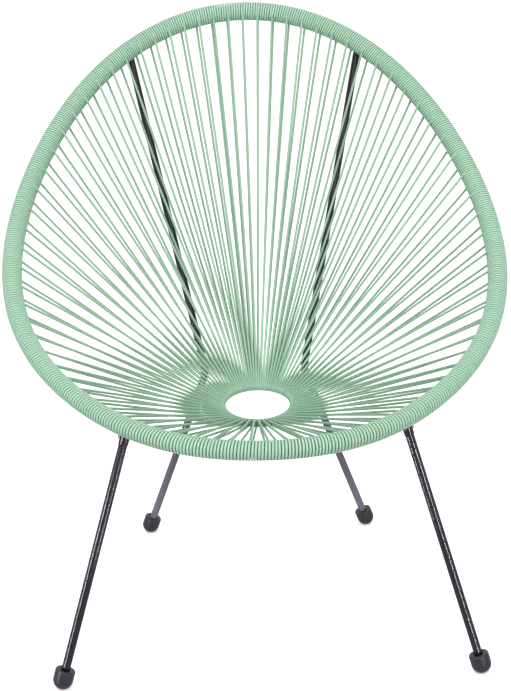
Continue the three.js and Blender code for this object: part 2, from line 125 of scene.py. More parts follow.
class Graph:
    """A node tree, with the one method that adds every node but those of the operators."""

    def __init__(self, tree: bpy.types.NodeTree) -> None:
        """Takes the tree to add to."""
        self.tree = tree

    def node(self, kind: str, values: dict | None = None, output: int | str = 0,
             **settings: object) -> Shade:
        """Adds a node.

        Args:
            kind: The node's type name.
            values: Numbers, colours or shades, by the socket's name or index.
            output: Which output to return.
            settings: Attributes of the node, set first. "stops" fills a colour ramp.

        Returns:
            The named output.
        """
        made = self.tree.nodes.new(kind)
        for place, colour in settings.pop("stops", []):
            ramp = made.color_ramp.elements
            element = ramp[0] if place == 0 else ramp[1]
            element.position, element.color = place, colour
        for key, value in settings.items():
            setattr(made, key, value)
        for key, value in (values or {}).items():
            self.fill(made.inputs[key], value)
        return Shade(self.tree, made.outputs[output])

    def fill(self, socket: bpy.types.NodeSocket, value: "Shade | float | tuple") -> None:
        """Links a shade to a socket, or sets a constant on it.

        Args:
            socket: The input socket.
            value: What it gets.
        """
        if isinstance(value, Shade):
            self.tree.links.new(value.socket, socket)
        else:
            socket.default_value = value

    def noise(self, scale: float, detail: float = 2.0, roughness: float = 0.5) -> Shade:
        """Noise from 0 to 1 on the piece's own coordinates, scale in waves a metre."""
        place = self.node("ShaderNodeTexCoord", output="Object")
        return self.node("ShaderNodeTexNoise", {"Vector": place, "Scale": scale, "Detail": detail,
                                                "Roughness": roughness})

    def mark(self, name: str) -> Shade:
        """A value that the mesh carries at each point."""
        return self.node("ShaderNodeAttribute", output="Fac", attribute_name=name)

    def ramp(self, amount: Shade, first: tuple, second: tuple, end: float = 1.0) -> Shade:
        """Goes from one colour at 0 to another at an end."""
        return self.node("ShaderNodeValToRGB", {"Fac": amount}, stops=[(0.0, first), (end, second)])

    def mix(self, amount: Shade, first: "Shade | tuple", second: "Shade | tuple") -> Shade:
        """Goes from one colour, varying or plain, to another."""
        return self.node("ShaderNodeMix", {0: amount, 6: first, 7: second}, 2, data_type="RGBA")


class Finish(Graph):
    """A material under construction, with its Principled shader."""

    def __init__(self, name: str) -> None:
        """Starts an empty node material.

        Args:
            name: The material's name.
        """
        self.material = bpy.data.materials.new(name)
        self.material.use_nodes = True
        super().__init__(self.material.node_tree)
        self.shader = self.tree.nodes["Principled BSDF"]

    def give(self, **values: "Shade | float | tuple") -> None:
        """Fills sockets of the shader, by name with _ for a space."""
        for name, value in values.items():
            self.fill(self.shader.inputs[name.replace("_", " ")], value)

    def bump(self, height: Shade, depth: float, strength: float) -> None:
        """Lets a height from 0 to 1 stand out by a depth in metres."""
        self.give(Normal=self.node("ShaderNodeBump", {"Height": height, "Distance": depth,
                                                      "Strength": strength}))


def linear(red: int, green: int, blue: int) -> tuple[float, float, float, float]:
    """Linear colour of an sRGB colour.

    Args:
        red: From 0 to 255, as are the other two.
        green: Green.
        blue: Blue.

    Returns:
        The opaque colour in linear light.
    """
    def channel(value: int) -> float:
        """Inverse of the sRGB curve."""
        share = value / 255
        return share / 12.92 if share <= 0.04045 else ((share + 0.055) / 1.055) ** 2.4
    return (channel(red), channel(green), channel(blue), 1.0)


@dataclass(frozen=True)
class VinylCord:
    """Mint green extruded vinyl: a satin skin, uneven in tone, duller and with painted shade between
    turns.
    """

    pale: tuple = linear(164, 198, 173)
    deep: tuple = linear(143, 179, 154)
    # Painted shade colour, between turns and on strands far from the ring
    painted_shade_colour: tuple = linear(96, 134, 109)
    cloud_waves: float = 9.0
    mottle_waves: float = 160.0
    fine_waves: float = 900.0
    specular: float = 0.42
    roughness: float = 0.32
    relief: float = 0.06 * MM

    def material(self) -> bpy.types.Material:
        """Builds the material.

        Returns:
            The material.
        """
        finish = Finish("green_cord_vinyl")
        # The mark carries painted shade, between turns and on strands far from the ring; it also
        # dulls the skin.
        hidden = finish.mark("hidden")
        mottle = finish.noise(self.mottle_waves, 3.0)
        fine = finish.noise(self.fine_waves)
        amount = finish.mark("tone") * 0.5 + finish.noise(self.cloud_waves) * 0.35 + mottle * 0.15
        unshaded_tone = finish.ramp(amount, self.deep, self.pale)
        finish.give(Base_Color=finish.mix(hidden, unshaded_tone, self.painted_shade_colour),
                    Specular_IOR_Level=self.specular,
                    Roughness=self.roughness + mottle * 0.14 + fine * 0.06 + hidden * 0.2)
        finish.bump(fine * 0.5 + mottle * 0.5, self.relief, 0.5)
        return finish.material


@dataclass(frozen=True)
class PowderCoat:
    """Near-black powder coat with a faint orange peel, and painted light in pale violet grey where
    it is marked so.
    """

    pale: tuple = linear(27, 24, 33)
    deep: tuple = linear(15, 13, 19)
    # Painted light colour, paler towards the floor on the rear legs
    painted_light_colour: tuple = linear(122, 114, 132)
    sheen: tuple = (0.95, 0.86, 1.0, 1.0)
    cloud_waves: float = 40.0
    peel_waves: float = 1100.0
    roughness: float = 0.13
    relief: float = 0.04 * MM

    def material(self) -> bpy.types.Material:
        """Builds the material.

        Returns:
            The material.
        """
        finish = Finish("black_powder_coat")
        peel = finish.noise(self.peel_waves)
        cloud = finish.noise(self.cloud_waves, 3.0)
        black = finish.ramp(cloud * 0.7 + peel * 0.3, self.deep, self.pale)
        # The mark carries painted light: pale violet grey low on the rear legs, duller too.
        hidden = finish.mark("hidden")
        finish.give(Base_Color=finish.mix(hidden, black, self.painted_light_colour), Specular_Tint=self.sheen,
                    Roughness=self.roughness + cloud * 0.06 + peel * 0.04 + hidden * 0.3)
        finish.bump(peel, self.relief, 0.25)
        return finish.material


@dataclass(frozen=True)
class CapMoulding:
    """Dark grey moulded plastic, scuffed dull on the surface."""

    pale: tuple = linear(40, 35, 48)
    deep: tuple = linear(22, 18, 28)
    scuff_waves: float = 120.0
    grain_waves: float = 1600.0
    roughness: float = 0.28
    relief: float = 0.08 * MM

    def material(self) -> bpy.types.Material:
        """Builds the material.

        Returns:
            The material.
        """
        finish = Finish("grey_cap_moulding")
        grain = finish.noise(self.grain_waves)
        scuff = finish.noise(self.scuff_waves, 4.0, 0.65)
        finish.give(Base_Color=finish.ramp(scuff * 0.75 + grain * 0.25, self.deep, self.pale),
                    Roughness=self.roughness + scuff * 0.16 + grain * 0.06)
        finish.bump(grain * 0.6 + scuff * 0.4, self.relief, 0.4)
        return finish.material


@dataclass(frozen=True)
class ZincPlate:
    """Bright zinc plating with a fine brushed mottle."""

    pale: tuple = linear(196, 198, 202)
    deep: tuple = linear(150, 152, 158)
    grain_waves: float = 900.0
    roughness: float = 0.28
    relief: float = 0.03 * MM

    def material(self) -> bpy.types.Material:
        """Builds the material.

        Returns:
            The material.
        """
        finish = Finish("zinc_plate")
        grain = finish.noise(self.grain_waves, 3.0)
        finish.give(Base_Color=finish.ramp(grain, self.deep, self.pale), Metallic=1.0,
                    Roughness=self.roughness + grain * 0.15)
        finish.bump(grain, self.relief, 0.3)
        return finish.material


@dataclass(frozen=True)
class StudioWhite:
    """Matt white paper of the floor."""

    shade: tuple = (0.95, 0.95, 0.95, 1.0)
    glow: float = 0.3
    roughness: float = 0.9
    specular: float = 0.1

    def material(self) -> bpy.types.Material:
        """Builds the material.

        Returns:
            The material, which glows a little, so that the paper looks pure white.
        """
        finish = Finish("studio_white")
        finish.give(Base_Color=self.shade, Emission_Color=(1.0, 1.0, 1.0, 1.0),
                    Emission_Strength=self.glow, Roughness=self.roughness,
                    Specular_IOR_Level=self.specular)
        return finish.material


# Meshes from numpy surfaces


@dataclass
class Skin:
    """Points and faces of one closed surface, with its tone and how much painted shade or painted
    light each point carries.
    """

    points: np.ndarray
    quads: np.ndarray
    triangles: np.ndarray
    tone: float = 0.5
    # Share of painted shade or painted light at each point
    hidden: np.ndarray | float = 0.0

    def outward(self) -> "Skin":
        """Turns the faces round where they point inwards.

        The sign is that of the volume under the faces: a sixth of the sum of a . (b x c).

        Returns:
            The skin itself.
        """
        quads = self.quads
        halves = np.concatenate([quads[:, [0, 1, 2]], quads[:, [0, 2, 3]], self.triangles])
        a, b, c = (self.points[halves[:, i]] for i in range(3))
        if np.einsum("ij,ij->i", a, np.cross(b, c)).sum() < 0:
            self.quads = quads[:, ::-1]
            self.triangles = self.triangles[:, ::-1]
        return self


def rows_dot(first: np.ndarray, second: np.ndarray) -> np.ndarray:
    """Dot product of each pair of rows, kept as a column."""
    return np.sum(first * second, axis=-1, keepdims=True)


def unit(vectors: np.ndarray) -> np.ndarray:
    """Rows scaled to length 1."""
    return vectors / np.linalg.norm(vectors, axis=-1, keepdims=True)


def grid_skin(grid: np.ndarray, tone: float = 0.5) -> Skin:
    """Closes a grid of rings into a solid.

    Point (i, j) is the j-th point of ring i. Quads join neighbours, the ring closes on itself,
    and a fan to the middle of each end ring closes the ends.

    Args:
        grid: Array (rings, points a ring, 3).
        tone: Shade of this piece within its finish, from 0 to 1.

    Returns:
        The closed skin.
    """
    rings, sides = grid.shape[:2]
    i = np.arange(rings - 1)[:, None] * sides
    j = np.arange(sides)[None, :]
    k = (j + 1) % sides
    quads = np.stack([i + j, i + k, i + sides + k, i + sides + j], axis=-1).reshape(-1, 4)
    middle = rings * sides
    last = (rings - 1) * sides
    ring = np.arange(sides)
    after = (ring + 1) % sides
    front = np.stack([np.full(sides, middle), after, ring], axis=-1)
    back = np.stack([np.full(sides, middle + 1), last + ring, last + after], axis=-1)
    points = np.concatenate([grid.reshape(-1, 3), grid[0].mean(0)[None], grid[-1].mean(0)[None]])
    return Skin(points, quads, np.concatenate([front, back]), tone).outward()


def swept(path: np.ndarray, reference: np.ndarray, radius: float, sides: int, tone: float = 0.5,
          widen: float | np.ndarray = 1.0) -> Skin:
    """Carries a circle or an oval along a path.

    At each point the section lies across the path's direction. Its first axis is the reference with
    its part along the path taken out, and its second is square to both.

    Args:
        path: Points (n, 3).
        reference: A direction for each point (n, 3), nowhere along the path.
        radius: The circle's radius.
        sides: Points on the circle.
        tone: Shade within the finish.
        widen: How much longer the first axis is, as one share or one for each point.

    Returns:
        The closed tube.
    """
    along = unit(np.gradient(path, axis=0))
    first = unit(reference - along * rows_dot(reference, along))
    second = np.cross(along, first)
    angle = (np.arange(sides) + 0.5) * TAU / sides
    wide = np.broadcast_to(np.asarray(widen, float), (len(path),))[:, None, None]
    grid = path[:, None] + radius * (wide * np.cos(angle)[None, :, None] * first[:, None]
                                     + np.sin(angle)[None, :, None] * second[:, None])
    return grid_skin(grid, tone)


def lathed(profile: np.ndarray, sides: int, place: np.ndarray, axis: np.ndarray) -> Skin:
    """Turns a profile round an axis.

    A profile point (r, h) becomes place + h x axis + r x (cosine and sine of the turn).

    Args:
        profile: Array (n, 2) of radius and height, from one end to the other.
        sides: Points round the axis.
        place: Where height 0 lies.
        axis: Direction of the height.

    Returns:
        The closed skin.
    """
    axis = unit(axis)
    helper = X_AXIS if abs(axis[0]) < 0.9 else Y_AXIS
    first = unit(np.cross(axis, helper))
    second = np.cross(axis, first)
    angle = np.arange(sides) * TAU / sides
    spokes = np.cos(angle)[:, None] * first + np.sin(angle)[:, None] * second
    return grid_skin(place + profile[:, None, 1:] * axis + profile[:, None, :1] * spokes[None])


def rounded(profile: list[tuple[float, float, float]], steps: int = 5) -> np.ndarray:
    """Rounds the corners of a profile.

    Each corner is replaced by a quadratic curve between points one radius before and after it,
    whose control point is the corner. On a short side the curve takes just under half of it.

    Args:
        profile: Corners as (radius, height, corner radius).
        steps: Points on each rounded corner.

    Returns:
        Array (n, 2).
    """
    most = 0.49
    corners = np.array([corner[:2] for corner in profile])
    made = [corners[0]]
    for before, corner, after, fillet in zip(corners, corners[1:], corners[2:],
                                             [corner[2] for corner in profile[1:-1]]):
        if fillet <= 0:
            made.append(corner)
            continue
        start, end = (corner + unit(side) * min(fillet, np.linalg.norm(side) * most)
                      for side in (before - corner, after - corner))
        t = np.linspace(0, 1, steps)[:, None]
        made.extend((1 - t) ** 2 * start + 2 * t * (1 - t) * corner + t ** 2 * end)
    made.append(corners[-1])
    return np.array(made)


def waves(place: float | np.ndarray, parts: tuple) -> float | np.ndarray:
    """Sum of sine waves.

    Args:
        place: Where along the waves.
        parts: Each wave's height, its radians for each unit of place, and its start in radians.

    Returns:
        The sum at each place.
    """
    return sum(height * np.sin(place * rate + start) for height, rate, start in parts)


def make_piece(name: str, skins: list[Skin], material: bpy.types.Material,
               nodes: list[str]) -> bpy.types.Object:
    """Puts skins into one object that rides on the chair and stands for its nodes.

    Args:
        name: The object's name.
        skins: Closed surfaces.
        material: Its finish.
        nodes: The model's nodes that it replaces.

    Returns:
        The object.
    """
    offsets = np.cumsum([0] + [len(skin.points) for skin in skins])
    points = np.concatenate([skin.points for skin in skins])
    quads = np.concatenate([skin.quads + start for skin, start in zip(skins, offsets)])
    triangles = np.concatenate([skin.triangles + start for skin, start in zip(skins, offsets)])
    mesh = bpy.data.meshes.new(name)
    mesh.from_pydata(points.tolist(), [], quads.tolist() + triangles.tolist())
    tones = np.concatenate([np.full(len(skin.points), skin.tone) for skin in skins])
    # Painted shade and painted light go to the mesh as a point attribute.
    hidden = np.concatenate([np.broadcast_to(skin.hidden, len(skin.points)) for skin in skins])
    for key, values in (("tone", tones), ("hidden", hidden)):
        attribute = mesh.attributes.new(key, "FLOAT", "POINT")
        attribute.data.foreach_set("value", values.astype(np.float32))
    mesh.polygons.foreach_set("use_smooth", np.ones(len(mesh.polygons), bool))
    mesh.materials.append(material)
    mesh.update()
    piece = bpy.data.objects.new(name, mesh)
    bpy.context.collection.objects.link(piece)
    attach(piece, "root")
    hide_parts(*nodes)
    LOG.info("%s: %d points, %d faces, stands for %s", name, len(points), len(mesh.polygons),
             ", ".join(nodes))
    return piece


# The chair's own lines


@dataclass
class Section:
    """A row of places on a ring: middle, direction along it, inward and up to the sitter."""

    centre: np.ndarray
    tangent: np.ndarray
    inward: np.ndarray
    across: np.ndarray

    def at(self, inward: np.ndarray, across: np.ndarray) -> np.ndarray:
        """Points at these distances inward and across."""
        return self.centre + inward[:, None] * self.inward + across[:, None] * self.across


@dataclass
class RimLine:
    """Centre line of the rim, an egg seen from above and one curved sweep seen from the side."""

    half_width: float = 350 * MM
    widen_shares: tuple = (1, 0.2857, -0.049, -0.0138, 0.1053)
    advance_share: float = -0.2732
    side_points: tuple = ((-370 * MM, 354 * MM), (-110 * MM, 396 * MM), (210 * MM, 520 * MM),
                          (410 * MM, 854 * MM))
    ring_middle: np.ndarray = field(default_factory=lambda: np.array([0, 120 * MM, 266 * MM]))
    crowding_share: float = 0.28
    loops: int = 78
    stay_angle: float = 114.5
    samples: int = 8001
    small_turn: float = 1e-4

    def __post_init__(self) -> None:
        """Measures the line's length from its back top round by the left side."""
        self.turns = np.linspace(0, 1, self.samples)
        steps = np.linalg.norm(np.diff(self.points(self.turns), axis=0), axis=1)
        self.lengths = np.concatenate([[0], np.cumsum(steps)])
        self.length = self.lengths[-1]

    def points(self, turn: np.ndarray) -> np.ndarray:
        """Points at shares of a turn seen from above.

        x is the cosine times the half width times a polynomial of the sine. y and z follow a cubic
        Bezier curve of the sine's share of its range, advanced by a parabola.

        Args:
            turn: Shares of a turn from the back's top.

        Returns:
            Points (n, 3).
        """
        angle = math.pi / 2 + TAU * turn
        rise = np.sin(angle)
        widen = sum(share * rise ** power for power, share in enumerate(self.widen_shares))
        even = (rise + 1) / 2
        s = even + self.advance_share * even * (1 - even)
        weights = np.stack([(1 - s) ** 3, 3 * s * (1 - s) ** 2, 3 * s * s * (1 - s), s ** 3])
        y, z = (sum(w * corner[i] for w, corner in zip(weights, self.side_points)) for i in (0, 1))
        return np.stack([np.cos(angle) * self.half_width * widen, y, z], axis=-1)

    def section(self, length: np.ndarray) -> Section:
        """Places at lengths along the line.

        Args:
            length: Lengths in metres, which wrap round.

        Returns:
            The places, with inward towards the seat ring.
        """
        turn = np.interp(np.mod(length, self.length), self.lengths, self.turns)
        return self.section_at_turn(turn)

    def section_at_turn(self, turn: np.ndarray) -> Section:
        """Places at shares of a turn seen from above.

        Args:
            turn: Shares of a turn from the back's top.

        Returns:
            The places, with inward towards the seat ring.
        """
        centre = self.points(turn)
        tangent = unit(self.points(turn + self.small_turn) - self.points(turn - self.small_turn))
        inward = self.ring_middle - centre
        inward = unit(inward - tangent * rows_dot(inward, tangent))
        return Section(centre, tangent, inward, np.cross(tangent, inward))

    def section_at_angle(self, degrees: float | tuple) -> Section:
        """Places at angles seen from above, from the right side round by the back."""
        return self.section_at_turn((np.radians(np.atleast_1d(degrees)) - math.pi / 2) / TAU)

    def stay_section(self) -> Section:
        """Place where the left back stay is welded."""
        return self.section_at_angle(self.stay_angle)

    def loop_length(self, loop: np.ndarray) -> np.ndarray:
        """Length along the line at a loop's number. Loops crowd at the back and the front."""
        share = loop / self.loops
        return self.length * (share - self.crowding_share * np.sin(2 * TAU * share) / (2 * TAU))


@dataclass
class RingLine:
    """Centre line of the seat ring, a tilted circle."""

    rim: RimLine
    radius: float = 57.2 * MM
    tilt: float = math.radians(13.5)
    crowding_share: float = 0.3

    def __post_init__(self) -> None:
        """Sets the ring's own axes."""
        self.back = np.array([0, math.cos(self.tilt), math.sin(self.tilt)])

    def turn(self, loop: np.ndarray) -> np.ndarray:
        """Share of the ring's turn at a loop's number."""
        share = loop / self.rim.loops
        return share - self.crowding_share * np.sin(TAU * share) / TAU

    def outside(self, turn: np.ndarray, distance: float) -> np.ndarray:
        """Points at shares of a turn and a distance from the ring's middle, in its plane."""
        angle = (math.pi / 2 + TAU * turn)[:, None]
        outward = np.cos(angle) * X_AXIS + np.sin(angle) * self.back
        return self.rim.ring_middle + distance * outward

    def section(self, turn: np.ndarray, toward: np.ndarray) -> Section:
        """Places on the ring.

        Args:
            turn: Shares of a turn from the back.
            toward: A point for each place, from which its strand comes.

        Returns:
            The places, with inward away from the strand, square to the ring's line.
        """
        angle = (math.pi / 2 + TAU * turn)[:, None]
        tangent = -np.sin(angle) * X_AXIS + np.cos(angle) * self.back
        centre = self.outside(turn, self.radius)
        strand = toward - centre
        inward = -unit(strand - tangent * rows_dot(strand, tangent))
        return Section(centre, tangent, inward, np.cross(tangent, inward))


# The cord


@dataclass
class CordSector:
    """One of 13 stretches of cord: its windings on rim and ring and its six loops between them.

    The pitches are in millimetres, at shares of the rim's length from the back's top, as counted
    along the winding in the photograph.
    """

    number: int
    rim: RimLine
    ring: RingLine
    material: bpy.types.Material
    sectors: int = 13
    cord_radius: float = 1.8 * MM
    # Half axes of the oval tube in the rim, and the radius of the wire in the ring
    tube_inward: float = 10.9 * MM
    tube_across: float = 8.9 * MM
    wire_radius: float = 3.6 * MM
    # Turns on the rim: their pitch, how far they stand off the tube, and how they waver
    pitch_shares: tuple = (0, 0.05, 0.1, 0.146, 0.19, 0.24, 0.287, 0.334, 0.38, 0.43, 0.475, 0.5)
    pitch_sizes: tuple = (4.05, 3.8, 3.67, 3.95, 4.2, 4.68, 5.3, 5.47, 5.4, 4.86, 4.15, 4.1)
    slack: float = 0.9 * MM
    waver: tuple = ((0.07 * MM, 1.31, 0.0), (0.06 * MM, 0.47, 1.0), (0.05 * MM, 2.9, 0.0))
    swelling: tuple = ((0.05 * MM, 0.83, 2.0),)
    seam_turns: float = 3.0
    samples: int = 4001
    # Turns on the ring
    ring_pitch: float = 3.5 * MM
    ring_sink: float = 0.3 * MM
    # The mesh of the turns, their tone, and how near the crest the painted shade between turns fades
    # out
    winding_steps: int = 20
    winding_sides: int = 8
    winding_tone: float = 0.55
    crest_unshaded: float = 0.92
    crest_fade: float = 0.54
    # Loops: how the lower strand lags, its room beside a stay, and the step round the ring
    lag: float = 0.3
    stay_room: float = 10 * MM
    ring_step: float = 0.5
    ring_points: int = 14
    # How a strand rises out of the turns on the rim
    sink: float = 1.0 * MM
    wrap_angle: float = math.radians(24)
    wrap_points: int = 10
    wrap_depth: float = 0.8
    wrap_rise: float = 0.8
    wrap_power: float = 1.5
    # The mesh of the strands and their tone, duller and with painted shade away from the ring
    strand_sides: int = 10
    strand_points: int = 6
    strand_tone: float = 0.3
    tone_waves: tuple = ((0.2, 2.4, 0.0), (0.1, 5.1, 1.0))
    far_shade_peak: float = 0.4
    far_shade_start: float = 0.3
    far_shade_reach: float = 260 * MM

    def __post_init__(self) -> None:
        """Counts the turns on the rim up to each length, from the pitch.

        The pitch is the same left and right. Turns up to a length are the sum of the small steps
        over their pitch, scaled a little so that the whole rim holds a whole number.
        """
        self.lengths = np.linspace(0, self.rim.length, self.samples)
        share = self.lengths / self.rim.length
        sizes = np.interp(np.minimum(share, 1 - share), self.pitch_shares, self.pitch_sizes) * MM
        steps = np.diff(self.lengths) * 2 / (sizes[1:] + sizes[:-1])
        turns = np.concatenate([[0], np.cumsum(steps)])
        self.turns = turns * round(turns[-1]) / turns[-1]

    def turns_at(self, length: np.ndarray) -> np.ndarray:
        """Turns on the rim up to a length.

        Args:
            length: Lengths, which may lie before the rim's start or past its end.

        Returns:
            The number of turns, with its fraction.
        """
        laps = np.floor(length / self.rim.length)
        rest = np.interp(length - laps * self.rim.length, self.lengths, self.turns)
        return laps * self.turns[-1] + rest

    def length_at(self, turn: np.ndarray) -> np.ndarray:
        """Length along the rim after a number of turns, the reverse of turns_at.

        Args:
            turn: Numbers of turns.

        Returns:
            The lengths.
        """
        laps = np.floor(turn / self.turns[-1])
        rest = np.interp(turn - laps * self.turns[-1], self.turns, self.lengths)
        return laps * self.rim.length + rest

    def under_loop(self, loop: float) -> float:
        """Where a loop's lower strand leaves the rim.

        It lies off its upper strand by the lag times the sine of twice the loop's turn, so the two
        meet at the top, the front and the sides.

        Args:
            loop: The loop's number from the top round by the left side.

        Returns:
            The place as a loop's number.
        """
        return loop + self.lag * math.sin(2 * TAU * loop / self.rim.loops)

    def seams(self) -> np.ndarray:
        """The loop numbers at which this sector starts and ends."""
        return (self.number + np.array([0.0, 1.0])) * self.rim.loops / self.sectors - 0.5

    def helix(self, turn: np.ndarray, place: Section, semi: tuple[float, float],
              swell: np.ndarray | float, widen: np.ndarray | float = 1.0) -> Skin:
        """A cord wound on an oval, with painted shade where it faces the oval or its neighbours.

        Args:
            turn: Number of turns at each point.
            place: The oval's middle and axes at each point.
            semi: The oval's half axes.
            swell: How far the cord stands off the oval.
            widen: How much wider than thick the cord lies.

        Returns:
            The closed tube, with its share of painted shade worked out from the way that it faces.
        """
        reach = self.cord_radius + swell
        angle = math.pi - TAU * turn
        path = place.at((semi[0] + reach) * np.cos(angle), (semi[1] + reach) * np.sin(angle))
        path += CENTRING
        skin = swept(path, place.tangent, self.cord_radius, self.winding_sides, self.winding_tone,
                     widen)
        out = unit(np.cos(angle)[:, None] / semi[0] * place.inward
                   + np.sin(angle)[:, None] / semi[1] * place.across)
        grid = skin.points[:-2].reshape(len(turn), self.winding_sides, 3) - path[:, None]
        crest = (grid * out[:, None]).sum(-1) / self.cord_radius
        # Painted shade between turns: full where the cord faces the oval or its neighbours, none
        # near the crest.
        facing_shade = np.clip((self.crest_unshaded - crest) / self.crest_fade, 0, 1)
        skin.hidden = np.append(facing_shade, [1.0, 1.0])
        return skin

    def rim_winding(self) -> Skin:
        """The turns on the rim.

        A helix round an oval: the angle runs evenly while the place along the rim gains the local
        pitch a turn, with slow waves of a tenth of a millimetre, as a hand-wound cord has. The cord
        is pressed as wide as its pitch, so that no tube shows.

        Returns:
            The closed tube of this sector's turns.
        """
        first, last = np.round(self.turns_at(self.rim.loop_length(self.seams())))
        turn = np.linspace(first, last, int(last - first) * self.winding_steps + 1)
        fade = np.clip(np.minimum(turn - first, last - turn) / self.seam_turns, 0, 1)
        place = self.rim.section(self.length_at(turn) + waves(turn, self.waver) * fade)
        pitch = self.length_at(turn + 0.5) - self.length_at(turn - 0.5)
        swell = self.slack + waves(turn, self.swelling) * fade
        return self.helix(turn, place, (self.tube_inward, self.tube_across), swell,
                          np.maximum(1, pitch / (2 * self.cord_radius)))

    def ring_winding(self) -> Skin:
        """The turns on the ring, a helix round its wire, set a little under the loops' own turns.

        Returns:
            The closed tube of this sector's turns.
        """
        pitch = 1 / round(TAU * self.ring.radius / self.ring_pitch)
        first, last = np.round(self.ring.turn(self.seams()) / pitch)
        turn = np.linspace(first, last, int(last - first) * self.winding_steps + 1)
        share = turn * pitch
        far = self.ring.outside(share, 4 * self.ring.radius)
        return self.helix(turn, self.ring.section(share, far),
                          (self.wire_radius, self.wire_radius), -self.ring_sink)

    def leave_angle(self, inward: float, across: float, semi: tuple[float, float],
                    sign: int) -> float:
        """Angle at which a taut line to a far point leaves an oval.

        The tangent at angle a passes through (x, y) where x cos(a) / A + y sin(a) / B = 1.

        Args:
            inward: x of the far point.
            across: y of the far point.
            semi: A and B, the oval's half axes.
            sign: 1 for the line over the oval, -1 for the one under it.

        Returns:
            The angle in radians.
        """
        x, y = inward / semi[0], across / semi[1]
        return math.atan2(y, x) + sign * math.acos(1 / math.hypot(x, y))

    def on_rim(self, length: float, far: np.ndarray, sign: int) -> tuple[np.ndarray, np.ndarray]:
        """Cord over the rim's winding, from deep in it to where it leaves for the ring.

        It is one of the turns, so it starts inside the winding and rises out of it only near the
        rim's inner edge, slanted along the rim as the strand is. Its depth is a power of the share
        of the rise that is still to come.

        Args:
            length: Place along the rim where the strand leaves.
            far: The strand's other end.
            sign: 1 for an upper strand, -1 for a lower one.

        Returns:
            The path and the rim's direction at each point, up to where the strand leaves.
        """
        here = self.rim.section(np.array([length]))
        strand = far - here.centre[0]
        ahead, deep, high = (float(strand @ axis[0])
                             for axis in (here.tangent, here.inward, here.across))
        slant = ahead / math.hypot(deep, high)
        reach = self.cord_radius + self.slack - self.sink
        semi = (self.tube_inward + reach, self.tube_across + reach)
        leave = self.leave_angle(deep, high, semi, sign)
        share = np.linspace(0, 1, self.wrap_points)
        angle = leave + sign * self.wrap_angle * (1 - share)
        sunk = np.clip(1 - share / self.wrap_rise, 0, 1) ** self.wrap_power
        depth = self.wrap_depth * self.cord_radius * sunk
        inward = (semi[0] - depth) * np.cos(angle)
        across = (semi[1] - depth) * np.sin(angle)
        steps = np.hypot(np.diff(inward), np.diff(across)) * (share[1:] + share[:-1]) / 2
        drift = np.concatenate([[0], np.cumsum(steps)])
        place = self.rim.section(length + slant * (drift - drift[-1]))
        return place.at(inward, across), place.tangent

    def on_ring(self, turn: float, step: float, far_upper: np.ndarray,
                far_lower: np.ndarray) -> tuple[np.ndarray, np.ndarray]:
        """Cord round the ring: over it, through the hole and out below.

        Args:
            turn: The loop's place, as a share of the ring's turn.
            step: How far the cord moves along the ring, as a share of its turn.
            far_upper: The upper strand's start.
            far_lower: The lower strand's end.

        Returns:
            The path and the ring's direction at each point.
        """
        radius = self.wire_radius + self.cord_radius
        toward = (far_upper + far_lower) / 2
        here = self.ring.section(np.array([turn]), toward[None])
        leave = []
        for far, sign in ((far_upper, -1), (far_lower, 1)):
            strand = far - here.centre[0]
            leave.append(self.leave_angle(float(strand @ here.inward[0]),
                                          float(strand @ here.across[0]), (radius, radius), sign))
        angle = np.linspace(leave[0] % TAU, leave[1] % TAU - TAU, self.ring_points)
        place = self.ring.section(turn + step * np.linspace(-0.5, 0.5, self.ring_points),
                                  np.repeat(toward[None], self.ring_points, 0))
        return place.at(radius * np.cos(angle), radius * np.sin(angle)), place.tangent

    def loop(self, loop: int) -> Skin:
        """One loop: from the rim over to the ring, round it, and back below.

        The two strands are straight lines between the three wound parts. The cord is duller, and
        darker with painted shade, the farther it lies from the ring, as in the photograph.

        Args:
            loop: The loop's number.

        Returns:
            The closed tube of the loop.
        """
        upper = float(self.rim.loop_length(np.array(float(loop))))
        lower = float(self.rim.loop_length(np.array(self.under_loop(loop))))
        lower += self.step_aside(lower)
        turn = float(self.ring.turn(np.array(float(loop))))
        half = self.ring_step / 2
        step = float(self.ring.turn(np.array(loop + half)) - self.ring.turn(np.array(loop - half)))
        middle = self.ring.section(np.array([turn]), self.rim.section(np.array([upper])).centre)
        lift = (self.wire_radius + self.cord_radius) * middle.across[0]
        over, over_side = self.on_rim(upper, middle.centre[0] + lift, 1)
        under, under_side = self.on_rim(lower, middle.centre[0] - lift, -1)
        under, under_side = under[::-1], under_side[::-1]
        round_ring, ring_side = self.on_ring(turn, step, over[-1], under[0])
        path = self.joined(over, round_ring, under)
        reference = self.joined(over_side, ring_side, under_side)
        tone = self.strand_tone + float(waves(loop, self.tone_waves))
        skin = swept(path + CENTRING, reference, self.cord_radius, self.strand_sides, tone)
        # Painted shade on the strands, deeper the farther they lie from the ring.
        far = np.linalg.norm(skin.points - CENTRING - self.rim.ring_middle, axis=1)
        far_shade = np.clip(far / self.far_shade_reach - self.far_shade_start, 0, 1)
        skin.hidden = self.far_shade_peak * far_shade
        return skin

    def joined(self, over: np.ndarray, ring: np.ndarray, under: np.ndarray) -> np.ndarray:
        """Joins the rows of a loop's three wound parts, with even steps between them.

        Args:
            over: Rows on the rim, for the upper strand.
            ring: Rows round the ring.
            under: Rows on the rim, for the lower strand.

        Returns:
            All rows in order.
        """
        share = np.linspace(0, 1, self.strand_points + 2)[1:-1, None]
        there = over[-1] + share * (ring[0] - over[-1])
        back = ring[-1] + share * (under[0] - ring[-1])
        return np.concatenate([over, there, ring, back, under])

